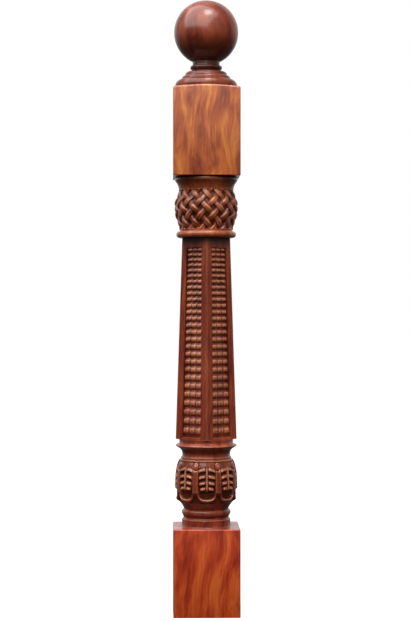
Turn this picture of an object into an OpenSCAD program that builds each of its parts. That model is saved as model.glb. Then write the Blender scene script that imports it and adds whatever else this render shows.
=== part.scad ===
// Carved newel post: a square timber, left square at the foot and the head, and turned and carved
// between them. From the floor up it has a plain foot block, a leaf-carved bulb, a tapered square
// shaft set corner to the front with a panel of studs on each face, a bulb carved as basket weave,
// the head block under a turned shoulder, and a ball. It is one solid.
// The origin is the middle of the underside, +Z is up, and a block face looks along -Y.

/* [Blocks] */
// Side of the square timber that both blocks keep
block_side = 130; // [116:1:160]
// Height of the plain foot block
foot_block_height = 170; // [100:1:400]
// Height of the head block, up to the crown of the low arch on each face
head_block_height = 175; // [120:0.5:260]
// Radius that eases the upright edges of both blocks
arris_radius = 2.5; // [1:0.1:5]
// Slope of the shallow shoulder that is turned on the head block
shoulder_slope = 8; // [2:1:20]
// Diameter at which the shoulder meets the cushion
shoulder_top_diameter = 123; // [122.5:0.5:126]

/* [Turning over the foot block] */
// Diameter of the drum that stands on the foot block
drum_diameter = 95; // [90:0.5:110]
// Height of the drum
drum_height = 15; // [8:0.5:30]
// Diameter of the groove over the drum
low_groove_diameter = 88; // [80:0.5:89]
// Height of the groove over the drum
low_groove_height = 6.5; // [4:0.5:12]
// Diameter of the round ring over the groove
low_ring_diameter = 96; // [92:0.5:110]
// Height of the round ring
low_ring_height = 13; // [8:0.5:20]
// Diameter at the foot of the cup that carries the leaf bulb
cup_foot_diameter = 88; // [84:0.5:94]
// Diameter of the cup's rim
cup_rim_diameter = 105; // [96:0.5:106]
// Height of the cup
cup_height = 14; // [10:0.5:24]

/* [Leaf bulb] */
// Greatest diameter of the leaf bulb
bulb_diameter = 123; // [118:0.5:140]
// Height of the leaf bulb
bulb_height = 84; // [70:1:120]
// Diameter at the top of the leaf bulb
bulb_top_diameter = 100; // [99:0.5:104]
// Number of leaves round the bulb
leaf_count = 8; // [6:1:12]
// Depth of the carving between the leaves
leaf_depth = 6.5; // [3:0.5:9]

/* [Turning under the shaft] */
// Diameter of the fine bead over the leaf bulb
fine_bead_diameter = 98.5; // [96:0.5:99]
// Height of the fine bead
fine_bead_height = 4.5; // [3:0.5:6]
// Diameter at the foot of the hollow over the fine bead
hollow_foot_diameter = 96; // [90:0.5:96.5]
// Least diameter of the hollow
hollow_diameter = 93.5; // [84:0.5:94]
// Height of the hollow
hollow_height = 19; // [12:0.5:30]
// Diameter of the hollow's upper rim
hollow_rim_diameter = 109; // [100:0.5:116]
// Diameter of the sharp-edged disc
disc_diameter = 120; // [117:0.5:130]
// Height of the disc
disc_height = 6.5; // [4:0.5:12]
// Diameter of the round seat that the shaft stands on
seat_diameter = 105.5; // [98:0.5:112]
// Height of the seat
seat_height = 8; // [5:0.5:16]

/* [Shaft] */
// Height of the tapered square shaft
shaft_height = 394.5; // [300:0.5:500]
// Width of the shaft across its corners at the foot
shaft_foot_diagonal = 120; // [114:0.5:130]
// Width of the shaft across its corners at the top
shaft_top_diagonal = 94; // [80:0.5:100]
// Plain height over each panel of studs
panel_headroom = 20; // [12:0.5:60]
// Plain height under each panel of studs
panel_sill = 6; // [4:0.5:20]
// Share of each face's width that the panel takes
panel_share = 0.59; // [0.4:0.01:0.7]
// Depth that the panels are sunk
panel_depth = 4; // [2:0.25:5]
// Rows of studs in each panel
stud_rows = 27; // [16:1:30]
// Upright columns of studs in each panel
stud_columns = 3; // [2:1:4]
// How much taller each row is than the row over it
row_growth = 1.0255; // [1.001:0.0005:1.03]

/* [Basket bulb] */
// Diameter of the round ring between the shaft and the basket
high_ring_diameter = 117; // [112:0.5:126]
// Height of the ring
high_ring_height = 13; // [10:0.5:20]
// Groove left between the ring and the basket
basket_groove = 3; // [1:0.5:8]
// Greatest diameter of the basket bulb
basket_diameter = 125; // [116:0.5:140]
// Diameter at the two ends of the basket bulb
basket_end_diameter = 103; // [98:0.5:104]
// Height of the basket bulb
basket_height = 79; // [60:1:110]
// Strands that run each way round the basket
strand_count = 14; // [10:1:18]
// Depth of the holes between the strands
weave_depth = 5; // [2:0.5:7]
// Diameter in the neck over the basket
high_neck_diameter = 107.5; // [107:0.5:112]
// Height of the flare from the neck to the collar
flare_height = 17; // [10:0.5:26]
// Diameter of the collar under the head block
collar_diameter = 122; // [116:0.5:124]
// Height of the collar
collar_height = 7; // [4:0.5:12]

/* [Finial] */
// Diameter of the cushion, the broad quarter-round on the head block
cushion_diameter = 122; // [121:0.5:122]
// Plain rim under the cushion
cushion_rim = 3.5; // [2:0.5:6]
// Height of the cushion's round
cushion_height = 12.5; // [10:0.5:12.5]
// Diameter of the middle quarter-round
quarter_round_diameter = 96; // [94:0.5:96]
// Plain rim under the middle quarter-round
quarter_round_rim = 1; // [1:0.5:4]
// Height of the middle quarter-round
quarter_round_height = 6.5; // [4:0.5:6.5]
// Diameter of the upper, smaller quarter-round
small_round_diameter = 82; // [76:0.5:82]
// Plain rim under the smaller quarter-round
small_round_rim = 1.5; // [1:0.5:3]
// Height of the smaller quarter-round
small_round_height = 6.5; // [4:0.5:9]
// Diameter of the neck on each side of the astragal
neck_diameter = 53; // [46:0.5:58]
// Height of the neck between the small round and the astragal
neck_height = 3; // [2:0.5:8]
// Diameter of the astragal, the small ring under the ball
astragal_diameter = 62.5; // [60:0.5:70]
// Height of the astragal
astragal_height = 9.5; // [6:0.5:12]
// Plain neck that shows between the astragal and the ball
ball_neck_height = 7.3; // [4:0.1:14]
// Diameter of the ball
ball_diameter = 126; // [90:0.5:140]

/* [Hidden] */
$fn = 96;
wood = [0.47, 0.2, 0.11];
// How far one member is let into the next, so that they make one solid
lap = 1;
// Narrow step between a hollow and a member whose edge it runs up to
quirk = 1.5;
// Levels, from the floor up
drum_z = foot_block_height;
low_groove_z = drum_z + drum_height;
low_ring_z = low_groove_z + low_groove_height;
cup_z = low_ring_z + low_ring_height;
bulb_z = cup_z + cup_height;
fine_bead_z = bulb_z + bulb_height - lap;
hollow_z = fine_bead_z + fine_bead_height;
disc_z = hollow_z + hollow_height;
seat_z = disc_z + disc_height;
shaft_z = seat_z + seat_height;
high_ring_z = shaft_z + shaft_height;
basket_z = high_ring_z + high_ring_height + basket_groove;
flare_z = basket_z + basket_height;
collar_z = flare_z + flare_height;
head_z = collar_z + collar_height;
head_crown_z = head_z + head_block_height;
shoulder_top_z = head_crown_z + (block_side - shoulder_top_diameter) / 2 * tan(shoulder_slope);
cushion_z = shoulder_top_z + cushion_rim;
quarter_round_z = cushion_z + cushion_height + quarter_round_rim;
small_round_z = quarter_round_z + quarter_round_height + small_round_rim;
neck_z = small_round_z + small_round_height;
astragal_z = neck_z + neck_height;
ball_neck_z = astragal_z + astragal_height;
// The neck runs up to where it meets the ball
ball_centre_z = ball_neck_z + ball_neck_height
    + sqrt(pow(ball_diameter / 2, 2) - pow(neck_diameter / 2, 2));

function lerp(a, b, t) = a + (b - a) * t;
function clamp01(t) = min(1, max(0, t));
// Rises smoothly from 0 to 1 while t goes from a to b
function smooth(a, b, t) = let (u = clamp01((t - a) / (b - a))) u * u * (3 - 2 * u);
// A rounded ridge: 1 on its crest and 0 from its half width outwards
function ridge(distance, half_width) = sqrt(max(0, 1 - pow(distance / half_width, 2)));

// ---- Turned members: each is an outline turned about the post's axis ----

// Centre and radius of the circle through three points of an outline
function circle_through(a, b, c) = let (
    d = 2 * (a.x * (b.y - c.y) + b.x * (c.y - a.y) + c.x * (a.y - b.y)),
    x = (a * a * (b.y - c.y) + b * b * (c.y - a.y) + c * c * (a.y - b.y)) / d,
    y = (a * a * (c.x - b.x) + b * b * (a.x - c.x) + c * c * (b.x - a.x)) / d
) [[x, y], norm(a - [x, y])];

// A ring with a half-round edge
module round_ring(z, height, diameter) {
    translate([0, 0, z]) rotate_extrude() {
        square([diameter / 2 - height / 2, height]);
        translate([diameter / 2 - height / 2, height / 2]) circle(height / 2);
    }
}

// A quarter-round that draws in upwards
module quarter_round(z, height, diameter) {
    translate([0, 0, z]) rotate_extrude() {
        square([diameter / 2 - height, height]);
        intersection() {
            translate([diameter / 2 - height, 0]) circle(height);
            translate([diameter / 2 - height, 0]) square(height);
        }
    }
}

// A hollow: its edge is the arc through the lower rim, the waist and the upper rim. It is let into
// the members under and over it, and is a little slimmer than their rims.
module hollow(z, height, low_diameter, waist_diameter, waist_share, high_diameter) {
    low = [low_diameter / 2, 0];
    waist = [waist_diameter / 2, height * waist_share];
    high = [high_diameter / 2, height];
    arc = circle_through(low, waist, high);
    translate([0, 0, z]) rotate_extrude() difference() {
        polygon([[0, -lap], [low.x, -lap], low, high, [high.x, height + lap], [0, height + lap]]);
        translate(arc[0]) circle(arc[1]);
    }
}

// A plain disc
module disc(z, height, diameter) translate([0, 0, z]) cylinder(h = height, d = diameter);

// ---- Carved members: rings of points, each ring a level, joined into one closed skin ----

module loft(rings) {
    sides = len(rings[0]);
    last = (len(rings) - 1) * sides;
    bottom = len(rings) * sides;
    points = concat([for (ring = rings) each ring],
        [[0, 0, rings[0][0].z], [0, 0, rings[len(rings) - 1][0].z]]);
    // Each four-sided cell is folded along whichever of its diagonals stands further out
    skin = [for (i = [0 : len(rings) - 2], j = [0 : sides - 1])
        let (a = i * sides + j, b = i * sides + (j + 1) % sides, c = a + sides, d = b + sides,
            rising = reach(points[a]) + reach(points[d]) > reach(points[b]) + reach(points[c]))
        each rising ? [[a, c, d], [a, d, b]] : [[a, c, b], [b, c, d]]];
    ends = [for (j = [0 : sides - 1]) let (k = (j + 1) % sides)
        each [[bottom, j, k], [bottom + 1, last + k, last + j]]];
    polyhedron(points, concat(skin, ends));
}

function reach(point) = norm([point.x, point.y]);
function polar(radius, angle, z) = [radius * cos(angle), radius * sin(angle), z];

// Basket weave. u counts strands round the bulb and w counts them upwards, so that u + w is whole
// on the strands that lean one way and u - w on those that lean the other way.
strand_half_width = 0.36;
steps_per_strand = 6;
basket_columns = strand_count * steps_per_strand;
basket_rows = 2 * round(basket_height * basket_columns / (PI * basket_diameter) / 2);
function strand_height(across, along) =
    ridge(across - round(across), strand_half_width)
        * (0.7 + 0.3 * cos(180 * (along - round(across))));
function weave(u, w) = max(strand_height(u + w, u - w), strand_height(u - w, u + w + 1));
function basket_radius(t) = lerp(basket_end_diameter / 2, basket_diameter / 2,
    pow(1 - pow(abs(2 * t - 1), 2.2), 0.8));
function basket_ring(i) = let (
    t = i / basket_rows,
    w = (i - basket_rows / 2) / steps_per_strand,
    sunk = weave_depth * min(1, 5 * min(t, 1 - t))
) [for (j = [0 : basket_columns - 1])
    polar(basket_radius(t) - sunk * (1 - weave(j / steps_per_strand, w)),
        360 * j / basket_columns - 90, basket_z + basket_height * t)];
// Both ends run on, plain, into the members next to the basket
function basket_end(z) = [for (j = [0 : basket_columns - 1])
    polar(basket_end_diameter / 2, 360 * j / basket_columns - 90, z)];

module basket() loft(concat([basket_end(basket_z - basket_groove - lap)],
    [for (i = [0 : basket_rows]) basket_ring(i)],
    [basket_end(flare_z + lap)]));

// Leaf bulb. Each leaf stands in a raised U: across is the distance from the leaf's middle line and
// up is the height over the bulb's foot, as shares of the space that a leaf has.
leaf_steps = 10;
bulb_steps = 15;
function bulb_radius(t) = t < 0.31
    ? bulb_diameter / 2 - 2.8 * pow((0.31 - t) / 0.31, 2)
    : t < 0.94 ? bulb_diameter / 2 - 7.1 * pow((t - 0.31) / 0.63, 3)
    : lerp(bulb_diameter / 2 - 7.1, bulb_top_diameter / 2, smooth(0.94, 1, t));
function leaf_carving(across, t) = let (
    // distance from the middle of the U's arc, in half widths of the U
    reach = t > 0.26 ? across : norm([across, (0.26 - t) * 3.6]),
    rim = ridge(reach - 0.7, 0.16),
    droop = 360 * (t + 0.22 * across - 0.29) / 0.155,
    leaflets = across < 0.56 && t > 0.3 && t < 0.84 ? 0.55 + 0.3 * cos(droop) : 0,
    midrib = t > 0.3 && t < 0.86 ? 0.95 * ridge(across, 0.14) : 0,
    bud = 0.95 * ridge(norm([1 - across, (t - 0.87) * 2.6]), 0.24),
    stem = t > 0.3 && t < 0.9 ? 0.7 * ridge(1 - across, 0.12) : 0,
    band = smooth(0.78, 0.84, t) * (across < 0.7 ? 1 : 0)
) max(0.15, rim, leaflets, midrib, bud, stem, band, smooth(0.93, 0.96, t));

module leaf_bulb() {
    columns = leaf_count * leaf_steps;
    loft([for (i = [0 : bulb_steps])
        let (t = i / bulb_steps)
        [for (j = [0 : columns - 1])
            let (angle = 360 * j / columns - 90,
                step = (j + leaf_steps / 2) % leaf_steps - leaf_steps / 2,
                across = abs(step) / (leaf_steps / 2))
            polar(bulb_radius(t) - leaf_depth * (1 - leaf_carving(across, t)), angle, bulb_z + bulb_height * t)]]);
}

// Shaft. Each level is a square with a corner to the front. Every row of studs rises from the
// panel's floor to a lip and drops back sharply under it, and the rows grow taller downwards.
panel_top_z = high_ring_z - panel_headroom;
panel_foot_z = shaft_z + panel_sill;
row_shares = (pow(row_growth, stud_rows) - 1) / (row_growth - 1);
function row_z(i) = panel_top_z
    - (panel_top_z - panel_foot_z) * (pow(row_growth, i) - 1) / (row_growth - 1) / row_shares;
function shaft_half_width(z) = lerp(shaft_foot_diagonal, shaft_top_diagonal,
    (z - shaft_z) / shaft_height) / 2 / sqrt(2);

// One level: sunk is the depth of the panel's floor, and studs is how far the studs stand up from it
function shaft_ring(z, sunk, studs) = let (w = shaft_half_width(z), p = w * panel_share)
    [for (face = [0 : 3], k = [0 : 2 * stud_columns + 1])
        let (across = k == 0 ? -w : p * ((k - 1) / stud_columns - 1),
            edge = k < 2 || k == 2 * stud_columns + 1,
            out = w - (edge ? 0 : sunk - (k % 2 == 0 ? studs : 0)),
            turn = 90 * face - 45)
        [out * cos(turn) - across * sin(turn), out * sin(turn) + across * cos(turn), z]];

module shaft() {
    stud_height = panel_depth * 0.85;
    undercut = 0.12;
    rows = [for (i = [stud_rows - 1 : -1 : 0])
        let (top = row_z(i), foot = row_z(i + 1), drop = (top - foot) * undercut)
        each [shaft_ring(foot, panel_depth, stud_height),
            shaft_ring(i == 0 ? top : top - drop, panel_depth, 0)]];
    loft(concat(
        [shaft_ring(shaft_z, 0, 0), shaft_ring(panel_foot_z - panel_sill / 2, 0, 0),
            shaft_ring(panel_foot_z - panel_sill / 8, panel_depth, 0)],
        rows,
        [shaft_ring(panel_top_z + lap / 2, 0, 0), shaft_ring(high_ring_z + lap, 0, 0)]));
}

// ---- The square blocks ----

module eased_square() {
    flat = block_side - 2 * arris_radius;
    square([block_side, flat], center = true);
    square([flat, block_side], center = true);
    for (x = [-1, 1], y = [-1, 1])
        translate([x, y] * flat / 2) circle(arris_radius);
}

module foot_block() linear_extrude(foot_block_height) eased_square();

// The shallow cone of the turned shoulder cuts each face's top edge to a low arch
module head_block() {
    reach = block_side;
    intersection() {
        translate([0, 0, head_z]) linear_extrude(shoulder_top_z - head_z) eased_square();
        rotate_extrude() polygon([[0, head_z - lap], [reach, head_z - lap],
            [reach, shoulder_top_z - (reach - shoulder_top_diameter / 2) * tan(shoulder_slope)],
            [shoulder_top_diameter / 2, shoulder_top_z], [0, shoulder_top_z]]);
    }
}

module foot_turning() {
    disc(drum_z - lap, drum_height + lap, drum_diameter);
    hollow(low_groove_z, low_groove_height, drum_diameter - quirk, low_groove_diameter, 0.5,
        low_ring_diameter - low_ring_height / 2);
    round_ring(low_ring_z, low_ring_height, low_ring_diameter);
    hollow(cup_z, cup_height, cup_foot_diameter, lerp(cup_foot_diameter, cup_rim_diameter, 0.38),
        0.5, cup_rim_diameter);
}

module shaft_seat() {
    round_ring(fine_bead_z, fine_bead_height, fine_bead_diameter);
    hollow(hollow_z, hollow_height, hollow_foot_diameter, hollow_diameter, 0.35, hollow_rim_diameter);
    disc(disc_z, disc_height, disc_diameter);
    disc(seat_z - lap, seat_height + 2 * lap, seat_diameter);
}

module collar() {
    rim = collar_diameter - quirk;
    hollow(flare_z, flare_height, high_neck_diameter, lerp(high_neck_diameter, rim, 0.35), 0.55, rim);
    disc(collar_z, collar_height + lap, collar_diameter);
}

module finial() {
    disc(shoulder_top_z - lap, cushion_rim + lap, cushion_diameter);
    quarter_round(cushion_z, cushion_height, cushion_diameter);
    disc(cushion_z + cushion_height, quarter_round_rim, quarter_round_diameter);
    quarter_round(quarter_round_z, quarter_round_height, quarter_round_diameter);
    disc(quarter_round_z + quarter_round_height, small_round_rim, small_round_diameter);
    quarter_round(small_round_z, small_round_height, small_round_diameter);
    disc(neck_z, ball_centre_z - neck_z, neck_diameter);
    round_ring(astragal_z, astragal_height, astragal_diameter);
    translate([0, 0, ball_centre_z]) sphere(d = ball_diameter);
}

module newel_post() color(wood) {
    foot_block();
    foot_turning();
    leaf_bulb();
    shaft_seat();
    shaft();
    round_ring(high_ring_z, high_ring_height, high_ring_diameter);
    basket();
    collar();
    head_block();
    finial();
}

newel_post();
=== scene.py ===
# %% [markdown]
# # A carved newel post
# The post that ends a stair rail: a square timber, left square at the foot and the head, and turned
# and carved in between. This notebook builds it as the carver sees it, as one continuous skin of
# wood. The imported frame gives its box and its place, and everything else is worked out from that.

# %% Load the frame
import bpy
import numpy as np
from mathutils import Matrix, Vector


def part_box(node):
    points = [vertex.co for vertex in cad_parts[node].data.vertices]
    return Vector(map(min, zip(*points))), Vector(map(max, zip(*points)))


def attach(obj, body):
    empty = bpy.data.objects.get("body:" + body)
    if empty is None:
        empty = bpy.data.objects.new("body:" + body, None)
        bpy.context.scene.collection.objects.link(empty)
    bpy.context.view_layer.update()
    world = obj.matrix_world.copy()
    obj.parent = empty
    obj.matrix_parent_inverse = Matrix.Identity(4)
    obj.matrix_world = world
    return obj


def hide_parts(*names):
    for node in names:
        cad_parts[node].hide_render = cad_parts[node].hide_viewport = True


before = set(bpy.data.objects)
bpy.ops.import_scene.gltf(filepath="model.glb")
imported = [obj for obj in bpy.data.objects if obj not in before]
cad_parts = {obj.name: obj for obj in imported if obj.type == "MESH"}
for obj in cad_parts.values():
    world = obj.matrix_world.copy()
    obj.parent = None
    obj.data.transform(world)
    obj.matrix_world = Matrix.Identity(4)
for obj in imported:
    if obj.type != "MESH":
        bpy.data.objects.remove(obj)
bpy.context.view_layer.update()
low, high = (np.array(corner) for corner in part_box("newel_post"))
print("post box:", low.round(4), high.round(4))

# %% [markdown]
# ## The unit
# The post is 1200 mm tall, and its turnings were measured in millimetres. So one unit, `mm`, is the
# post's own height over 1200, and every size below is a plain number of millimetres times that unit.
# If the frame came back taller, the whole drawing would follow it.

# %% Unit and main sizes
POST_HEIGHT = 1200
mm = (high[2] - low[2]) / POST_HEIGHT
block_half = (high[0] - low[0]) / 2 / mm
foot_top, head_foot, head_crown = 170.0, 853.0, 1028.0
print("block half side:", round(block_half, 2), "mm")


# %% [markdown]
# ## Drawing outlines
# A turner works from an outline: radius against height. Outlines here are arrays of (radius, height)
# rows. Three small helpers draw them: corners joined by straight lines, an arc of an ellipse, and a
# bend pulled towards a control point. Joined end to end they make any moulding. Two more are for the
# carving: a soft step and a rounded ridge.

# %% Outline helpers
def line(*corners):
    """The corners themselves, as rows of (radius, height)."""
    return np.array(corners, float)


def arc(centre, radii, start, end, steps):
    """Part of an ellipse: centre plus radii times (cos, sin) of an angle that goes from start to end."""
    turn = np.radians(np.linspace(start, end, steps + 1))
    return np.array(centre) + np.array(radii) * np.stack([np.cos(turn), np.sin(turn)], axis=1)


def bend(start, pull, end, steps):
    """A quadratic curve: weights (1-t)^2, 2t(1-t) and t^2 on start, pull and end."""
    t = np.linspace(0, 1, steps + 1)[:, None]
    return (1 - t) ** 2 * np.array(start) + 2 * t * (1 - t) * np.array(pull) + t**2 * np.array(end)


def smooth(a, b, t):
    """Rises from 0 to 1 while t goes from a to b, with a level start and end: u^2 (3 - 2u)."""
    u = np.clip((t - a) / (b - a), 0, 1)
    return u * u * (3 - 2 * u)


def ridge(distance, half_width, power=2.0):
    """A rounded ridge: (1 - |distance / half_width|^power)^(1/power), and 0 outside it."""
    return np.maximum(0, 1 - np.abs(distance / half_width) ** power) ** (1 / power)


# %% [markdown]
# ## A skin made of bands
# The post is drawn from the floor up as a stack of bands. A band is a grid: each row is a closed ring
# of points, and all its rings have the same angles. Turned bands need few angles, carved ones need
# many. Where two bands meet, their rings are zipped together with triangles, so the whole post stays
# one closed skin with no seam, as one timber should.

# %% Bands and the zip between them
bands = []


def add_band(name, angles, radius, level, stain_and_shade_depth=0.0, drinks=0.85):
    """Keep a band. angles are degrees, one a column; radius and level (mm), carved depth (0 to 1),
    which darkens the colour partly as stain and partly as painted shade, and how much stain the wood
    drinks (0 to 1) broadcast to rows by columns."""
    shape = np.broadcast_shapes(np.shape(radius), np.shape(level), (1, len(angles)))
    grids = [np.broadcast_to(np.asarray(g, float), shape) for g in (radius, level, stain_and_shade_depth, drinks)]
    bands.append({"name": name, "angles": np.asarray(angles, float), "grids": grids})
    print(f"{name}: {shape[0]} rings of {shape[1]} points")


def grid_faces(rows, columns, first):
    """Four-sided faces between neighbouring rings: each joins point j and j + 1, round the ring."""
    i, j = np.meshgrid(np.arange(rows - 1), np.arange(columns), indexing="ij")
    a = first + i * columns + j
    b = first + i * columns + (j + 1) % columns
    return np.stack([a, b, b + columns, a + columns], axis=-1).reshape(-1, 4)


def zip_rings(lower, upper, first_lower, first_upper):
    """Triangles between two rings with different angles. Each edge of one ring is joined to the last
    point of the other ring that lies before the edge's far end."""
    n, m = len(lower), len(upper)
    next_lower = np.append(lower[1:], lower[0] + 360)
    next_upper = np.append(upper[1:], upper[0] + 360)
    partner_up = (np.searchsorted(np.append(upper, upper + 360), next_lower, "left") - 1) % m
    partner_low = (np.searchsorted(np.append(lower, lower + 360), next_upper, "right") - 1) % n
    i, j = np.arange(n), np.arange(m)
    from_low = np.stack([first_lower + i, first_lower + (i + 1) % n, first_upper + partner_up], 1)
    from_up = np.stack([first_lower + partner_low, first_upper + (j + 1) % m, first_upper + j], 1)
    return np.concatenate([from_low, from_up])


# %% [markdown]
# ## The angles of the plain bands
# The blocks and the plain turnings share one set of angles: a column every four degrees, and a few
# more close to each corner, so that the eased corner of a block is round. A turned ring simply has
# the same radius at all of them. Sharing angles means that a circle can pass into a square with the
# shoulder between them exactly flat or exactly conical.

# %% Plain angles and the eased square
CORNER_RADIUS = 2.6
corner_reach = 45 - np.degrees(np.arctan(1 - CORNER_RADIUS / block_half))
corner_extra = np.array([-1.0, -0.5, 0.5, 1.0]) * corner_reach
plain_angles = np.sort(np.concatenate(
    [np.arange(1, 360, 4.0)] + [45 + 90 * k + corner_extra for k in range(4)]))


def square_radius(inset):
    """Distance from the axis to a square with round corners, drawn in by inset: half over the larger
    of |cos| and |sin| on the flats, and the root of the circle's equation on the corners."""
    half = block_half - np.asarray(inset, float).reshape(-1, 1)
    corner = np.maximum(CORNER_RADIUS - np.asarray(inset, float).reshape(-1, 1), 0.4)
    turn = np.radians(plain_angles)
    c, s = np.abs(np.cos(turn)), np.abs(np.sin(turn))
    most, least = np.maximum(c, s), np.minimum(c, s)
    core = half - corner
    flat = half / most
    inside = np.maximum((core * (c + s)) ** 2 - 2 * core**2 + corner**2, 0)
    rounded = core * (c + s) + np.sqrt(inside)
    return np.where(half * least / most <= core, flat, rounded)


# %% [markdown]
# ## The foot block
# Plain timber, 130 mm square. The carver takes the sharpness off each edge with a few strokes of a
# block plane, so the top and bottom edges here are small quarter-rounds. Without them no edge would
# catch the light, and the block would look like paper.

# %% Foot block
FOOT_EASE, TOP_EASE = 0.9, 1.8
round_off = np.radians(np.linspace(0, 90, 5))
bottom_inset = FOOT_EASE * (1 - np.sin(round_off))
bottom_level = FOOT_EASE * (1 - np.cos(round_off))
top_inset = TOP_EASE * (1 - np.cos(round_off))
top_level = foot_top - TOP_EASE * (1 - np.sin(round_off))
add_band("foot_block", plain_angles,
    square_radius(np.concatenate([bottom_inset, top_inset])),
    np.concatenate([bottom_level, top_level])[:, None], drinks=0.0)


def add_turning(name, outline, stain_and_shade_depth=0.0, drinks=0.85):
    """A turned band: every ring is a circle of the outline's radius at the outline's height."""
    add_band(name, plain_angles, outline[:, :1], outline[:, 1:], stain_and_shade_depth, drinks)


# %% [markdown]
# ## The turning over the foot block
# A drum with a small flare at its foot, a groove, a round ring and a cup. The cup opens upwards and
# carries the leaf bulb.

# %% Foot turning
add_turning("foot_turning", np.concatenate([
    line((50.5, foot_top)),
    bend((49.2, foot_top), (47.8, 170.6), (47.6, 173.5), 4),
    line((47.6, 183.4)),
    bend((47.6, 184.0), (47.5, 185.0), (46.3, 185.1), 3),
    arc((47.3, 188.2), (3.1, 3.0), 258, 104, 10),
    arc((41.7, 197.8), (6.3, 6.5), -72, 76, 18),
    line((43.3, 204.6)),
    bend((43.9, 205.4), (46.2, 211.4), (52.4, 218.5), 10),
]))

# %% [markdown]
# ## The leaf bulb
# Eight leaves stand round the bulb, one facing the front. Each stands in a U: a rounded rim that is
# thick under the leaf and thin up its sides. Between two leaves there is one broad stem, with a bud on
# top, and it forks at its foot into the two rims. The leaf is a midrib with four pairs of ribs that
# arch outwards and down. Each rib slopes out to a lip and is undercut below it, so that it throws a
# shadow.
#
# This could be sculpted, but as a carving it is a rule, so it is written as one: the carved height is
# a function of `across`, millimetres from the nearest leaf's middle line, and of the level. It is 1 on
# the bulb's outline and 0 on the floor of the carving.

# %% Leaf bulb: its outline before carving
LEAVES, LEAF_COLUMNS = 8, 40
LEAF_DEPTH, FLOOR_RADIUS = 6.6, 52.4
BULB_FOOT, BULB_TOP = 218.7, 302.6
leaf_angles = np.arange(LEAVES * LEAF_COLUMNS) * 360 / (LEAVES * LEAF_COLUMNS)
bulb_outline = np.concatenate([
    line((53.2, BULB_FOOT)),
    bend((56.6, 218.9), (58.9, 218.9), (59.1, 221.4), 5),
    bend((59.2, 222.6), (60.0, 234.0), (61.7, 241.0), 19)[:-1],
    bend((61.7, 241.0), (61.9, 262.0), (60.1, 278.0), 31)[:-1],
    bend((60.1, 278.0), (58.6, 289.0), (54.6, 297.6), 18),
    bend((54.2, 298.4), (52.6, 301.4), (49.9, BULB_TOP), 5),
])
bulb_radius, bulb_level = bulb_outline[:, :1], bulb_outline[:, 1:]
leaf_turn = (leaf_angles + 180 / LEAVES) % (360 / LEAVES) - 180 / LEAVES
# Half the way from one leaf's middle line to the next, in millimetres round the bulb.
HALF_SPACE = 23.56
across = np.abs(leaf_turn)[None, :] / (180 / LEAVES) * HALF_SPACE
print("from a leaf's middle line to the middle of the stem:", HALF_SPACE, "mm")

# %% Leaf bulb: ribs and midrib
RIBS = [(282.3, 18.6), (268.7, 17.4), (256.4, 16.2), (245.6, 14.2)]
RIB_FALL, RIB_CROWN, RIB_LIFT = 0.035, 6.5, 1.0


def rib_height(across, level):
    """The highest of the ribs, each given by its level and its tip. A rib is an arch: it stands
    RIB_LIFT over its level at RIB_CROWN across, and falls from there by RIB_FALL (across -
    RIB_CROWN)^2. Above its middle it is a long slope, below it a short drop."""
    height = 0 * across * level
    fall = RIB_FALL * (across - RIB_CROWN) ** 2 - RIB_LIFT
    for middle, tip in RIBS:
        above = level + fall - middle
        profile = np.where(above > 0, ridge(above, 5.6, 1.7), ridge(above, 2.9, 2.6))
        run = ridge(np.maximum(across - tip + 4, 0), 4.0) * smooth(1.0, 4.6, across)
        height = np.maximum(height, profile * run)
    return height


def midrib_height(across, level):
    """A thin ridge down the middle of the leaf, which ends in a point above the top pair of ribs."""
    half = 2.9 * smooth(299.0, 284.0, level) + 0.01
    return ridge(across, half) * smooth(238, 246, level)


# %% Leaf bulb: rim, stem and bud
U_LEVEL, U_INNER, U_OUTER, U_POWER = 237.0, (16.0, 9.8), (19.6, 18.4), 2.5


def u_distance(across, level, half):
    """Distance from a U in its own size: 1 on it. Below U_LEVEL a superellipse, above it straight."""
    below = np.maximum(U_LEVEL - level, 0)
    return ((across / half[0]) ** U_POWER + (below / half[1]) ** U_POWER) ** (1 / U_POWER)


def rim_height(across, level):
    """A rounded ridge between the inner and the outer U, which sinks into the stem up its sides."""
    past_inner = u_distance(across, level, U_INNER) - 1
    before_outer = 1 - u_distance(across, level, U_OUTER)
    share = past_inner / np.maximum(past_inner + before_outer, 1e-6)
    rim = np.where((past_inner > 0) & (before_outer > 0), ridge(2 * share - 1, 1.0, 1.8), 0)
    return rim * (1 - 0.7 * smooth(U_LEVEL - 3, U_LEVEL + 9, level))


def stem_height(across, level):
    """The flat stem between two leaves, with a soft crown, gone below its fork."""
    crown = 0.70 + 0.18 * ridge(HALF_SPACE - across, 6.8)
    return smooth(16.6, 18.6, across) * crown * smooth(231, 240, level)


def bud_shape(across, level):
    """The oval bud on each stem and the groove cut round it: (bud, groove)."""
    away = np.hypot((HALF_SPACE - across) / 5.5, (level - 290.6) / 6.9)
    return ridge(away, 1.0, 2.0), np.exp(-((away - 1.16) / 0.17) ** 2)


# %% Leaf bulb: the carved skin
# The hood is the plain top of the bulb over the leaves. It starts lower away from a leaf's middle.
hood = smooth(286.5, 290.5, bulb_level + 0.2 * across) * 0.62
bud, groove = bud_shape(across, bulb_level)
plain = np.maximum(stem_height(across, bulb_level), hood) * (1 - 0.4 * groove)
height = np.maximum.reduce([plain, bud, 0.97 * rim_height(across, bulb_level),
    rib_height(across, bulb_level), 0.93 * midrib_height(across, bulb_level)])
leaf_carved = (1 - height) * smooth(BULB_TOP - 1.0, BULB_TOP - 5.5, bulb_level)
floor_of_carving = np.where(bulb_level > BULB_TOP - 6, 0, FLOOR_RADIUS)
leaf_skin = np.maximum(bulb_radius - LEAF_DEPTH * leaf_carved, floor_of_carving)
leaf_skin[0] = bulb_radius[0]  # the lowest ring stays round, as the cup under it is
print("deepest carving on the leaf bulb:", round(float((bulb_radius - leaf_skin).max()), 1), "mm")
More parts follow.
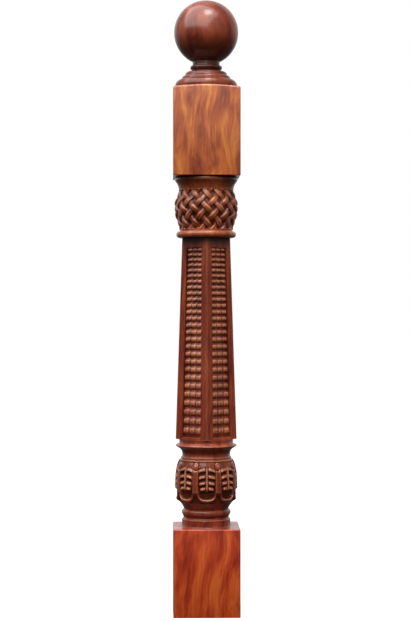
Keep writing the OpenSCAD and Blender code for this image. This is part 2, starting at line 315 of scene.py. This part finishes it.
# The carving depth also darkens the colour: partly stain in the hollows, partly painted shade.
add_band("leaf_bulb", leaf_angles, leaf_skin, bulb_level, 0.76 * leaf_carved, drinks=0.94)

# %% [markdown]
# ## The turning under the shaft
# A fine bead, a hollow that opens into a thin sharp-edged disc, and the round seat of the shaft.

# %% Seat turning
add_turning("seat_turning", np.concatenate([
    line((48.6, 302.8)),
    arc((47.3, 304.6), (2.1, 1.9), -50, 70, 8),
    line((47.9, 306.9)),
    bend((47.5, 307.2), (46.5, 309.6), (46.8, 313.0), 5)[:-1],
    bend((46.8, 313.0), (47.6, 320.2), (54.3, 323.8), 9),
    line((55.2, 324.7)),
    bend((56.4, 325.3), (59.6, 326.4), (60.1, 328.2), 4)[:-1],
    bend((60.1, 328.2), (60.3, 329.2), (56.6, 331.2), 5),
    bend((54.6, 331.9), (53.0, 332.2), (52.8, 333.4), 3),
    line((52.8, 339.5)),
]), drinks=0.75)

# %% [markdown]
# ## The shaft
# The shaft is square, but stands corner to the front, and it tapers. On each face a panel is sunk,
# and in it three columns of studs run down like kernels on a cob. Each stud is a small pillow, and
# under each row the floor of the panel shows. The rows grow taller downwards by the same share each
# time, so their levels follow a geometric series. The corners of the shaft and the borders of the
# panels keep their stain: EDGE_DEPTH gives them a little carved depth, so no wear shows there.
# The depth given to a place that lies under a wider ring, as the top of the shaft does, is painted shade.

# %% Shaft: levels and columns
SHAFT_FOOT, SHAFT_TOP = 340.0, 734.0
PANEL_FOOT, PANEL_TOP = 345.6, 713.5
FOOT_HALF, TOP_HALF = 60.2 / np.sqrt(2), 47.4 / np.sqrt(2)
PANEL_SHARE, PANEL_DEPTH = 0.59, 4.6
STUD_ROWS, STUD_COLUMNS, ROW_GROWTH = 27, 3, 1.0255
POINTS_PER_STUD, STUD_FIELD = 7, 0.985 * PANEL_SHARE
ARRIS, EDGE_DEPTH, PAINTED_SHADE_UNDER_RING = 1.0, 0.32, 0.8
row_total = (ROW_GROWTH**STUD_ROWS - 1) / (ROW_GROWTH - 1)


def row_level(row):
    """Level of a row's top edge: heights grow as powers of ROW_GROWTH and fill the panel."""
    return PANEL_TOP - (PANEL_TOP - PANEL_FOOT) * (ROW_GROWTH**row - 1) / (ROW_GROWTH - 1) / row_total


within_row = np.array([0.0, 0.11, 0.24, 0.38, 0.50, 0.60, 0.78])
row_places = (np.arange(STUD_ROWS)[:, None] + within_row).ravel()
row_along = np.tile(within_row, STUD_ROWS)
shaft_level = np.concatenate([
    [SHAFT_FOOT, SHAFT_FOOT + 0.5, SHAFT_FOOT + 1.6, PANEL_FOOT - 2.2, PANEL_FOOT - 0.2],
    row_level(row_places)[::-1],
    [PANEL_TOP + 0.3, PANEL_TOP + 1.0, PANEL_TOP + 8, SHAFT_TOP]])
along_row = np.concatenate([[0.9] * 5, row_along[::-1], [0.9] * 4])
in_panel = np.concatenate([[0, 0, 0, 0, 1.0], np.ones(len(row_along)), [0.85, 0, 0, 0]])
print("stud rows from", round(row_level(0.5), 1), "down to", round(row_level(STUD_ROWS - 0.5), 1), "mm")

# %% Shaft: one face across
stud_steps = STUD_COLUMNS * POINTS_PER_STUD
stud_cells = (np.arange(stud_steps + 1) / stud_steps * 2 - 1) * STUD_FIELD
face_shares = np.concatenate([
    [-0.93, -0.8, -0.68, -PANEL_SHARE - 0.012],
    stud_cells,
    [PANEL_SHARE + 0.012, 0.68, 0.8, 0.93]])
panel_share = np.abs(face_shares) < PANEL_SHARE


def stud_height(share, along):
    """A stud: across its cell a crown that falls to a tenth at its sides, and down the row a round
    pillow that fills the upper two thirds and turns under more sharply than it rises."""
    cell = (share / STUD_FIELD + 1) / 2 * STUD_COLUMNS
    middle = np.abs(cell - np.floor(np.clip(cell, 0, STUD_COLUMNS - 1e-6)) - 0.5) * 2
    crown = 0.10 + 0.90 * ridge(middle, 1.0, 2.3)
    down = along - 0.34
    return crown * np.where(down < 0, ridge(down, 0.36, 2.0), ridge(down, 0.29, 3.0))


half_width = FOOT_HALF + (TOP_HALF - FOOT_HALF) * (shaft_level - SHAFT_FOOT) / (SHAFT_TOP - SHAFT_FOOT)
half_width = half_width - np.where(shaft_level < SHAFT_FOOT + 0.4, 0.6, 0.0)
studs = stud_height(face_shares[None, :], along_row[:, None])
sunk = in_panel[:, None] * np.where(panel_share, 1.0, 0.0)[None, :]
face_out = half_width[:, None] - PANEL_DEPTH * sunk * (1 - 0.92 * studs)
face_side = half_width[:, None] * face_shares[None, :]
on_border = np.abs(np.abs(face_shares) - PANEL_SHARE) < 0.013
# The sunk floor and the undersides of the studs are darkened: partly stain, partly painted shade.
face_carved = 0.42 * sunk * (1 - studs) + EDGE_DEPTH * on_border

# %% Shaft: four faces and their eased corners
corner_turn = np.radians([15, 45, 75])
core = half_width[:, None] - ARRIS
corner_out = core + ARRIS * np.cos(corner_turn)
corner_side = core + ARRIS * np.sin(corner_turn)
side_out = np.concatenate([face_out, corner_out], axis=1)
side_across = np.concatenate([face_side, corner_side], axis=1)
side_carved = np.concatenate([face_carved, np.full_like(corner_out, EDGE_DEPTH)], axis=1)
# The top of the shaft, under the ring, is painted in shade.
side_carved = np.maximum(side_carved, PAINTED_SHADE_UNDER_RING * smooth(712, 732, shaft_level)[:, None])
shaft_x, shaft_y, shaft_carved = [], [], []
for face in range(4):
    turn = np.radians(45 + 90 * face)
    shaft_x.append(side_out * np.cos(turn) - side_across * np.sin(turn))
    shaft_y.append(side_out * np.sin(turn) + side_across * np.cos(turn))
    shaft_carved.append(side_carved)
shaft_x, shaft_y, shaft_carved = (np.concatenate(g, axis=1) for g in (shaft_x, shaft_y, shaft_carved))
shaft_angle = np.degrees(np.arctan2(shaft_y, shaft_x)) % 360
order = np.argsort(shaft_angle[0])
shaft_x, shaft_y, shaft_carved = shaft_x[:, order], shaft_y[:, order], shaft_carved[:, order]
add_band("shaft", shaft_angle[0, order], np.hypot(shaft_x, shaft_y), shaft_level[:, None], shaft_carved)
bands[-1]["xy"] = (shaft_x, shaft_y)

# %% [markdown]
# ## The ring and the basket
# Over the shaft lies one round ring, and on it a bulb carved as basket weave: fourteen strands lean
# each way and pass over one and under one. `u` counts strands round the bulb and `w` counts them
# upwards, so a strand of one kind lies where u + w is whole, and of the other where u - w is whole.
# A strand's height swings as a cosine along its length, and at each place the higher strand shows.

# %% Ring over the shaft
add_turning("high_ring", np.concatenate([
    line((51.6, 734.2)),
    arc((52.3, 740.8), (6.3, 6.4), -84, 82, 18),
    line((52.2, 747.6), (51.4, 748.2), (51.2, 749.2)),
]), drinks=0.62)

# %% Basket bulb
STRANDS = 14
STRAND_HALF = 0.275
WEAVE_DEPTH = 6.4
STRAND_COLUMNS = 20
basket_angles = np.arange(STRANDS * STRAND_COLUMNS) * 360 / (STRANDS * STRAND_COLUMNS)
basket_outline = np.concatenate([
    line((51.3, 749.6)),
    bend((52.6, 750.4), (56.6, 762.0), (60.6, 777.0), 24)[:-1],
    bend((60.6, 777.0), (65.0, 793.0), (61.4, 806.0), 24)[:-1],
    bend((61.4, 806.0), (57.9, 817.0), (54.8, 826.5), 16),
    line((53.9, 828.2)),
])
basket_radius, basket_level = basket_outline[:, :1], basket_outline[:, 1:]
STRAND_RISE, CROSSING_LEVEL = 28.0, 791.0


def strand(across, along):
    """One strand: a flat-topped ribbon across, riding up and down along its length. across and along
    are whole at its middle line and at its crossings."""
    number = np.round(across)
    ribbon = ridge(across - number, STRAND_HALF, 3.0)
    return ribbon * (0.66 + 0.34 * np.cos(np.pi * (along - number)))


u = (basket_angles[None, :] + 90) / 360 * STRANDS
w = (basket_level - CROSSING_LEVEL) / STRAND_RISE
weave = np.maximum(strand(u + w, u - w), strand(u - w, u + w + 1))
basket_fade = smooth(749.6, 753.5, basket_level) * smooth(828.4, 826.0, basket_level)
basket_carved = (1 - weave) * basket_fade
# The gaps of the weave are darkened: partly stain, partly painted shade.
add_band("basket", basket_angles, basket_radius - WEAVE_DEPTH * basket_carved, basket_level,
    0.86 * basket_carved)

# %% [markdown]
# ## The collar and the head block
# Over the basket the neck flares to a collar. The head block sits on it with a flat underside. Its
# top was turned on the lathe while the block was still square, so a shallow cone cuts all four faces,
# and each face ends in a very low arch. The edge of the cone is rounded over.

# %% Collar
# The depth given to the collar is painted shade under the head block.
add_turning("collar", np.concatenate([
    line((53.4, 828.8)),
    bend((53.6, 829.6), (54.4, 838.5), (60.9, 845.8), 9),
    line((61.2, 846.8), (61.2, 850.4), (60.6, 851.6)),
    line((59.6, head_foot)),
]), stain_and_shade_depth=0.28)

# %% Head block
SHOULDER_SLOPE = np.tan(np.radians(8))
CREST_EASE, UNDER_EASE, CUSHION_RADIUS = 3.4, 1.3, 61.0


def shoulder(radius):
    """Level of the turned cone: it falls by the slope for each millimetre outside the block's half side."""
    return head_crown - (radius - block_half) * SHOULDER_SLOPE


crest_turn = np.radians(np.linspace(0, 90, 7))
crest_radius = square_radius(CREST_EASE * (1 - np.cos(crest_turn)))
crest_level = shoulder(crest_radius) - CREST_EASE * (1 - np.sin(crest_turn))[:, None]
share = np.linspace(0.25, 1, 4)[:, None]
cone_radius = crest_radius[-1] + (CUSHION_RADIUS - crest_radius[-1]) * share
under_rings = square_radius(UNDER_EASE * (1 - np.sin(round_off)))
under_level = head_foot + UNDER_EASE * (1 - np.cos(round_off))[:, None] + 0 * under_rings
add_band("head_block", plain_angles,
    np.concatenate([under_rings, crest_radius, cone_radius]),
    np.concatenate([under_level, crest_level, shoulder(cone_radius)]),
    drinks=np.repeat([0, 0.85], [len(under_rings) + 5, 6])[:, None])

# %% [markdown]
# ## The mouldings and the ball
# A broad cushion and two small quarter-rounds step in to a short neck with a small ring, the
# astragal, and on that sits the ball. Each is an arc of the outline, turned, and so is the ball.
# Painted shade darkens the steps, the neck and the lower half of the ball, which lie under the ball.

# %% Step mouldings
# The depth given to these mouldings is painted shade under the ball.
add_turning("step_mouldings", np.concatenate([
    line((60.7, 1028.7), (60.8, 1030.0)),
    arc((48.6, 1032.0), (12.4, 12.5), 0, 86, 11),
    line((48.4, 1045.3)),
    arc((41.7, 1045.6), (6.4, 6.4), 0, 86, 7),
    line((41.5, 1052.9)),
    arc((34.6, 1053.6), (6.6, 6.4), 0, 84, 7),
]), stain_and_shade_depth=0.40)

# %% Neck and ball
BALL_RADIUS, NECK_RADIUS = 63.0, 26.6
ball_centre = POST_HEIGHT - BALL_RADIUS
ball_start = -np.degrees(np.arccos(NECK_RADIUS / BALL_RADIUS))
ball_outline = np.concatenate([
    bend((33.6, 1060.2), (28.0, 1060.4), (27.3, 1063.2), 5),
    arc((27.0, 1067.9), (4.4, 4.3), -82, 82, 12),
    line((NECK_RADIUS, 1072.6), (NECK_RADIUS - 0.2, 1075)),
    arc((0, ball_centre), (BALL_RADIUS, BALL_RADIUS), ball_start, 87, 38),
])
# The neck and the lower half of the ball get painted shade, fading out just above the ball's middle.
painted_shade_under_ball = smooth(1140, 1090, ball_outline[:, 1:])
add_turning("neck_and_ball", ball_outline, painted_shade_under_ball, drinks=1.0)
print("ball:", 2 * BALL_RADIUS, "mm across, its middle at", ball_centre, "mm")

# %% [markdown]
# ## One mesh
# Now the bands become one mesh. The points of all bands are stacked, faces are added inside each
# band and between bands, and the two ends are closed with a fan round one middle point. The carved
# depth goes with the points as an attribute and darkens the colour: partly stain that gathers in
# the hollows, partly painted shade. A ring that lies under a wider one gets some of that depth too,
# as painted shade under the overhang.

# %% Painted shade under the wider rings
OVERHANG_SLOPE, WIDEST_OVERHANG = 0.6, 66.0
rings = np.concatenate([
    np.stack([band["grids"][0].max(axis=1), band["grids"][1].mean(axis=1)], axis=1) for band in bands])
ring_reach = np.minimum(rings[:, 0], WIDEST_OVERHANG)
rise = rings[None, :, 1] - rings[:, None, 1]
cover = np.where(rise > 0, ring_reach[None, :] - OVERHANG_SLOPE * rise, 0).max(axis=1)
painted_shade_under_rings = smooth(0.8, 9.0, cover - rings[:, 0])
print("rings that lie under a wider one:", int((painted_shade_under_rings > 0.5).sum()), "of", len(painted_shade_under_rings))


# %% Weld the bands
def band_points(band):
    """Points of a band: (radius cos a, radius sin a, level), or the band's own x and y."""
    radius, level = band["grids"][:2]
    turn = np.radians(band["angles"])
    x, y = band.get("xy", (radius * np.cos(turn), radius * np.sin(turn)))
    return np.stack([x, y, level], axis=-1).reshape(-1, 3)


def weld(bands, painted_shade_under_rings):
    """Stack points, quads, triangles, depths and drinks of the bands from the floor up."""
    points, stain_and_shade_depths, drinks, quads, triangles, first, ring = [], [], [], [], [], 0, 0
    for number, band in enumerate(bands):
        rows, columns = band["grids"][0].shape
        points.append(band_points(band))
        stain_and_shade_depths.append(np.maximum(band["grids"][2], PAINTED_SHADE_UNDER_RING * painted_shade_under_rings[ring:ring + rows, None]).ravel())
        drinks.append(band["grids"][3].ravel())
        quads.append(grid_faces(rows, columns, first))
        if number:
            last = bands[number - 1]["angles"]
            triangles.append(zip_rings(last, band["angles"], first - len(last), first))
        first += rows * columns
        ring += rows
    low_ring, high_ring = np.arange(len(bands[0]["angles"])), np.arange(len(bands[-1]["angles"]))
    low_next, high_next = np.roll(low_ring, -1), np.roll(high_ring, -1)
    high_start = first - len(high_ring)
    triangles.append(np.stack([low_next, low_ring, np.full(len(low_ring), first)], 1))
    triangles.append(np.stack(
        [high_start + high_ring, high_start + high_next, np.full(len(high_ring), first + 1)], 1))
    points.append([[0, 0, 0], [0, 0, POST_HEIGHT]])
    stain_and_shade_depths.append([0, 0])
    drinks.append([1, 1])
    return [np.concatenate(part) for part in (points, quads, triangles, stain_and_shade_depths, drinks)]


points, quads, triangles, stain_and_shade_depths, drinks = weld(bands, painted_shade_under_rings)
print(len(points), "points,", 2 * len(quads) + len(triangles), "triangles")


# %% Fill the mesh
def make_mesh(name, points, quads, triangles):
    """Fill a mesh from whole arrays: the corners of all faces in one list, and where each face starts."""
    mesh = bpy.data.meshes.new(name)
    corners = np.concatenate([quads.ravel(), triangles.ravel()])
    starts = np.concatenate([np.arange(len(quads)) * 4, len(quads) * 4 + np.arange(len(triangles)) * 3])
    mesh.vertices.add(len(points))
    mesh.vertices.foreach_set("co", points.astype(np.float32).ravel())
    mesh.loops.add(len(corners))
    mesh.loops.foreach_set("vertex_index", corners.astype(np.int32))
    mesh.polygons.add(len(starts))
    mesh.polygons.foreach_set("loop_start", starts.astype(np.int32))
    mesh.polygons.foreach_set("use_smooth", np.ones(len(starts), bool))
    mesh.update(calc_edges=True)
    mesh.validate(verbose=True)
    return mesh


def keep_values(mesh, name, values):
    """Store one number a point, for the materials to read."""
    mesh.attributes.new(name, "FLOAT", "POINT").data.foreach_set("value", values.astype(np.float32))


post_mesh = make_mesh("newel_post_carved", points * mm, quads, triangles)
keep_values(post_mesh, "carved", stain_and_shade_depths)
keep_values(post_mesh, "drinks", drinks)

# %% [markdown]
# ## Where hands and dusters rub, and where ridges catch the light
# The polish is thinnest on ridges and edges, so the timber looks lighter there, and the same
# lightening is also a painted highlight along the ridges. To find them, each point is compared with
# its neighbours: seen along its own normal, a point on a ridge stands above them and a point in a
# groove lies below. The sharpest edges are left out again, because a pale line along them would look
# drawn on.


# %% Find the ridges
def standing_out(mesh):
    """For each point, the mean over its edges of (here - there) . normal / edge length."""
    count = len(mesh.vertices)
    place, normal = np.empty(count * 3, np.float32), np.empty(count * 3, np.float32)
    mesh.vertices.foreach_get("co", place)
    mesh.vertices.foreach_get("normal", normal)
    ends = np.empty(len(mesh.edges) * 2, np.int32)
    mesh.edges.foreach_get("vertices", ends)
    place, normal, ends = place.reshape(-1, 3), normal.reshape(-1, 3), ends.reshape(-1, 2)
    here = np.concatenate([ends[:, 0], ends[:, 1]])
    there = np.concatenate([ends[:, 1], ends[:, 0]])
    step = place[here] - place[there]
    slope = (step * normal[here]).sum(1) / np.maximum(np.linalg.norm(step, axis=1), 1e-9)
    return np.bincount(here, slope, count) / np.maximum(np.bincount(here, minlength=count), 1)


ridges = standing_out(post_mesh)
# Lighter ridges: partly wear, partly a painted highlight.
wear_and_highlight_points = smooth(0.02, 0.14, ridges) * smooth(0.31, 0.21, ridges)
keep_values(post_mesh, "wear_and_highlight", wear_and_highlight_points)
print("rubbed points:", int((wear_and_highlight_points > 0.5).sum()), "of", len(wear_and_highlight_points))
post_mesh.set_sharp_from_angle(angle=np.radians(38))
post = bpy.data.objects.new("newel_post_carved", post_mesh)
bpy.context.scene.collection.objects.link(post)
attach(post, "root")
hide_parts("newel_post")

# %% [markdown]
# ## Stained and polished timber
# The wood is a close-grained red hardwood under a brown-red stain and a thick, glossy lacquer. Three
# things make it look like one: broad figure that wanders like flames, fine streaks along the grain,
# and dark pores. All three are noise read on Object coordinates, squeezed along the post's height so
# that the pattern runs with the grain, and bent by a slower noise so that it doesn't run straight.

# %% Node helpers
wood = bpy.data.materials.new("stained_polished_hardwood")
wood.use_nodes = True
wood_tree = wood.node_tree
wood_shader = wood_tree.nodes["Principled BSDF"]


def add_node(tree, kind, inputs=(), **settings):
    """Add a node, set its own settings, and fill its inputs: a socket is linked, a value is set."""
    node = tree.nodes.new(kind)
    for name, value in settings.items():
        setattr(node, name, value)
    for name, value in dict(inputs).items():
        if isinstance(value, bpy.types.NodeSocket):
            tree.links.new(value, node.inputs[name])
        else:
            node.inputs[name].default_value = value
    return node


def ramp(tree, factor, stops):
    """A colour ramp with (place, linear red, green, blue) stops; returns its colour socket."""
    node = add_node(tree, "ShaderNodeValToRGB", {"Fac": factor})
    while len(node.color_ramp.elements) < len(stops):
        node.color_ramp.elements.new(0.5)
    for element, (place, *colour) in zip(node.color_ramp.elements, sorted(stops)):
        element.position = place
        element.color = (*colour, 1)
    return node.outputs["Color"]


def blend(tree, factor, first, second):
    """Mix two colours; factor, first and second are sockets or values."""
    node = add_node(tree, "ShaderNodeMix", data_type="RGBA")
    for socket, value in zip((node.inputs[0], node.inputs[6], node.inputs[7]), (factor, first, second)):
        if isinstance(value, bpy.types.NodeSocket):
            tree.links.new(value, socket)
        else:
            socket.default_value = value
    return node.outputs[2]


def spread(tree, value, low, high, to_low=0.0, to_high=1.0):
    """Stretch the range low..high of a value to to_low..to_high, and hold it there outside."""
    node = add_node(tree, "ShaderNodeMapRange",
        {"Value": value, "From Min": low, "From Max": high, "To Min": to_low, "To Max": to_high})
    return node.outputs["Result"]


# %% Grain coordinates
place = add_node(wood_tree, "ShaderNodeTexCoord").outputs["Object"]
wander = add_node(wood_tree, "ShaderNodeTexNoise", {"Vector": place, "Scale": 6.5, "Detail": 2.0})
WANDER = 0.055
bent = add_node(wood_tree, "ShaderNodeVectorMath",
    {0: wander.outputs["Color"], 1: (WANDER, WANDER, WANDER), 2: place}, operation="MULTIPLY_ADD")


def grain_noise(squeeze, scale, detail, distortion=0.0):
    """Noise drawn out along the height: squeeze is how much shorter the height counts."""
    drawn = add_node(wood_tree, "ShaderNodeMapping",
        {"Vector": bent.outputs["Vector"], "Scale": (1, 1, squeeze)})
    noise = add_node(wood_tree, "ShaderNodeTexNoise", {"Vector": drawn.outputs["Vector"],
        "Scale": scale, "Detail": detail, "Roughness": 0.55, "Distortion": distortion})
    return noise.outputs["Fac"]


figure = grain_noise(0.25, 28, 3.0, 0.9)
streaks = grain_noise(0.05, 190, 3.0)
pores = grain_noise(0.035, 900, 1.0)
tone = add_node(wood_tree, "ShaderNodeMath", {0: streaks, 1: 0.45, 2: -0.225}, operation="MULTIPLY_ADD")
tone = add_node(wood_tree, "ShaderNodeMath", {0: figure, 1: tone.outputs["Value"]}, operation="ADD")
print("the grain wanders by up to", round(WANDER * 1000), "mm")

# %% [markdown]
# ## Three stains on one timber
# The sawn faces of the two blocks are lighter than the turned and carved wood, whose cut grain drinks
# more stain. The foot block is a deep orange red and the head block a paler brown orange. So there are
# three colour ramps over the same figure: two are mixed by height, and the third by `drinks`.

# %% Stain colours
FOOT_TONES = [(0.32, 0.290, 0.019, 0.005), (0.44, 0.475, 0.041, 0.009), (0.55, 0.640, 0.075, 0.014),
    (0.68, 0.770, 0.138, 0.022)]
HEAD_TONES = [(0.32, 0.195, 0.042, 0.017), (0.44, 0.345, 0.075, 0.024), (0.55, 0.490, 0.124, 0.031),
    (0.68, 0.640, 0.220, 0.043)]
TURNED_TONES = [(0.32, 0.102, 0.011, 0.005), (0.44, 0.160, 0.021, 0.008), (0.55, 0.218, 0.034, 0.011),
    (0.68, 0.280, 0.056, 0.017)]
PORE_BROWN = (0.045, 0.010, 0.006, 1)
FADE_FROM, FADE_TO = 0.45, 0.90
level = add_node(wood_tree, "ShaderNodeSeparateXYZ", {"Vector": place}).outputs["Z"]
drinks_socket = add_node(wood_tree, "ShaderNodeAttribute", attribute_name="drinks").outputs["Fac"]
faded = spread(wood_tree, level, FADE_FROM, FADE_TO)
stain = blend(wood_tree, faded, ramp(wood_tree, tone.outputs["Value"], FOOT_TONES),
    ramp(wood_tree, tone.outputs["Value"], HEAD_TONES))
stain = blend(wood_tree, drinks_socket, stain, ramp(wood_tree, tone.outputs["Value"], TURNED_TONES))
stain = blend(wood_tree, spread(wood_tree, pores, 0.36, 0.24, 0.0, 0.55), stain, PORE_BROWN)
print("foot tones turn into head tones from", FADE_FROM, "to", FADE_TO, "m up")

# %% [markdown]
# ## Depth, painted shade, wear, painted highlights and polish
# Stain gathers in hollows and is wiped off ridges. The carved depth pulls the colour towards a deep
# brown, which is partly that stain and partly painted shade. The rubbed ridges pull it towards bare
# wood, in patches, and less on the blocks, which is partly wear and partly a painted highlight. The
# lacquer is a clear coat over the wood. It lies thin on the floors of the carving, which look dull,
# but the ball and its neck are glossy all over.

# %% Depth, painted shade, wear, painted highlights and polish
WEAR_AND_HIGHLIGHT_WOOD, DEEP_STAIN_AND_SHADE = (0.60, 0.24, 0.12, 1), (0.056, 0.013, 0.006, 1)
carved = add_node(wood_tree, "ShaderNodeAttribute", attribute_name="carved").outputs["Fac"]
wear_and_highlight = add_node(wood_tree, "ShaderNodeAttribute", attribute_name="wear_and_highlight").outputs["Fac"]
wear_and_highlight_mix = wear_and_highlight
for part in (spread(wood_tree, figure, 0.35, 0.6, 0.44, 0.86),
        spread(wood_tree, carved, 0.12, 0.34, 1.0, 0.0),
        spread(wood_tree, drinks_socket, 0.0, 0.6, 0.2, 1.0)):
    wear_and_highlight_mix = add_node(wood_tree, "ShaderNodeMath", {0: wear_and_highlight_mix, 1: part}, operation="MULTIPLY").outputs["Value"]
# The pale ridge colour is partly wear and partly a painted highlight.
stain = blend(wood_tree, wear_and_highlight_mix, stain, WEAR_AND_HIGHLIGHT_WOOD)
# The deep colour is partly stain in the hollows and partly painted shade.
stain = blend(wood_tree, spread(wood_tree, carved, 0.10, 0.95, 0.0, 0.86), stain, DEEP_STAIN_AND_SHADE)
wood_tree.links.new(stain, wood_shader.inputs["Base Color"])
wood_tree.links.new(spread(wood_tree, streaks, 0.3, 0.7, 0.34, 0.46), wood_shader.inputs["Roughness"])
bump = add_node(wood_tree, "ShaderNodeBump", {"Height": pores, "Strength": 0.10, "Distance": 0.0003})
wood_tree.links.new(bump.outputs["Normal"], wood_shader.inputs["Normal"])
wood_shader.inputs["Specular IOR Level"].default_value = 0.15
dull_floors = spread(wood_tree, carved, 0.25, 0.85, 1.0, 0.30)
glossy_ball = spread(wood_tree, drinks_socket, 0.95, 1.0)
coat = add_node(wood_tree, "ShaderNodeMath", {0: dull_floors, 1: glossy_ball}, operation="MAXIMUM")
wood_tree.links.new(coat.outputs["Value"], wood_shader.inputs["Coat Weight"])
wood_shader.inputs["Coat Roughness"].default_value = 0.21
wood_shader.inputs["Coat IOR"].default_value = 1.5
post_mesh.materials.append(wood)
print("wood:", len(wood_tree.nodes), "nodes and", len(wood_tree.links), "links")

# %% [markdown]
# ## The studio
# A pale floor without an edge in sight, and pale air round it. The floor glows a little, as a light
# table does, so that it stays pale far behind the post, and it throws no light up at the post.

# %% Floor
FLOOR_HALF = 40
floor_mesh = bpy.data.meshes.new("floor")
floor_mesh.from_pydata([(-FLOOR_HALF, -FLOOR_HALF, 0), (FLOOR_HALF, -FLOOR_HALF, 0),
    (FLOOR_HALF, FLOOR_HALF, 0), (-FLOOR_HALF, FLOOR_HALF, 0)], [], [(0, 1, 2, 3)])
floor = bpy.data.objects.new("floor", floor_mesh)
bpy.context.scene.collection.objects.link(floor)
floor_paint = bpy.data.materials.new("floor_paint")
floor_paint.use_nodes = True
floor_shader = floor_paint.node_tree.nodes["Principled BSDF"]
floor_shader.inputs["Base Color"].default_value = (0.5, 0.5, 0.5, 1)
floor_shader.inputs["Roughness"].default_value = 0.9
floor_shader.inputs["Emission Color"].default_value = (1, 1, 1, 1)
floor_shader.inputs["Emission Strength"].default_value = 0.86
floor_mesh.materials.append(floor_paint)
floor.visible_diffuse = False
floor.visible_glossy = False
print("floor:", 2 * FLOOR_HALF, "m across")

# %% [markdown]
# ## The light
# One large soft window high on the left shows as a broad pale shape on every round part. One smaller
# lamp almost straight overhead draws the bright line along the top of each ring. A wide fill on the
# right lightens the shadow side and isn't reflected, and a weak card far in front lifts the flat
# faces. The air itself gives a little light: more from behind, which puts a thin rim on both sides of
# the post, and almost none from below.

# %% Air
AIR_FRONT, AIR_BACK, AIR_BELOW = 0.20, 0.75, 0.12
world = bpy.data.worlds.new("studio")
bpy.context.scene.world = world
world.use_nodes = True
air = world.node_tree
toward = add_node(air, "ShaderNodeSeparateXYZ",
    {"Vector": add_node(air, "ShaderNodeTexCoord").outputs["Generated"]})
behind = spread(air, toward.outputs["Y"], 0.15, 1.0, AIR_FRONT, AIR_BACK)
above = spread(air, toward.outputs["Z"], -0.25, 0.15, AIR_BELOW, 1.0)
strength = add_node(air, "ShaderNodeMath", {0: behind, 1: above}, operation="MULTIPLY")
lit = air.nodes["Background"]
air.links.new(strength.outputs["Value"], lit.inputs["Strength"])
lit.inputs["Color"].default_value = (1, 1, 1, 1)
seen = add_node(air, "ShaderNodeBackground", {"Color": (1, 1, 1, 1), "Strength": 1.0})
choice = add_node(air, "ShaderNodeMixShader",
    {0: add_node(air, "ShaderNodeLightPath").outputs["Is Camera Ray"],
     1: lit.outputs["Background"], 2: seen.outputs["Background"]})
air.links.new(choice.outputs["Shader"], air.nodes["World Output"].inputs["Surface"])
print("strength of the air:", AIR_FRONT, "in front and", AIR_BACK, "behind")


# %% Lamps
def area_light(name, place, aim, size, power, reflects=True):
    """A rectangular soft lamp that faces aim. The camera doesn't see it, only its reflection."""
    data = bpy.data.lights.new(name, "AREA")
    data.shape = "RECTANGLE"
    data.size, data.size_y = size
    data.energy = power
    lamp = bpy.data.objects.new(name, data)
    lamp.location = place
    lamp.rotation_euler = (Vector(aim) - Vector(place)).to_track_quat("-Z", "Y").to_euler()
    lamp.visible_camera = False
    lamp.visible_glossy = reflects
    bpy.context.scene.collection.objects.link(lamp)
    print(f"{name}: {power} W")


area_light("window", (-0.66, -0.80, 2.73), (0, 0, 1.137), (4.0, 3.4), 120)
area_light("overhead", (0.15, -0.75, 2.9), (0, 0, 0.9), (0.62, 0.62), 13)
area_light("fill", (1.8, -1.9, 2.6), (0, 0, 0.7), (2.4, 2.0), 34, reflects=False)
area_light("front_card", (0.0, -7.0, 1.9), (0, 0, 0.9), (3.2, 1.5), 7)

# %% [markdown]
# ## The camera
# It stands level, at about half the post's height, and far enough away for the top and the foot to be
# seen almost straight on. FOCAL_SHARE is how many times longer the lens is than the sensor is high.
# Reds this deep keep their colour best under the plain Standard view.

# %% Camera
SENSOR_HEIGHT, FOCAL_SHARE, AIM_TRIM = 24.0, 1650 / 621, 0.0001
CAMERA_DISTANCE, EYE_HEIGHT, CAMERA_SIDE = 3.238, 0.592, -0.078
aim_turn = np.arctan2(CAMERA_SIDE, CAMERA_DISTANCE) + AIM_TRIM
camera_data = bpy.data.cameras.new("camera")
camera_data.sensor_fit = "VERTICAL"
camera_data.sensor_height = SENSOR_HEIGHT
camera_data.lens = SENSOR_HEIGHT * FOCAL_SHARE
camera = bpy.data.objects.new("camera", camera_data)
camera.location = (CAMERA_SIDE, -CAMERA_DISTANCE, EYE_HEIGHT)
camera.rotation_euler = (np.pi / 2, 0, aim_turn)
bpy.context.scene.collection.objects.link(camera)
bpy.context.scene.camera = camera
bpy.context.scene.view_settings.view_transform = "Standard"
print("camera:", CAMERA_DISTANCE, "m away and", EYE_HEIGHT, "m up")
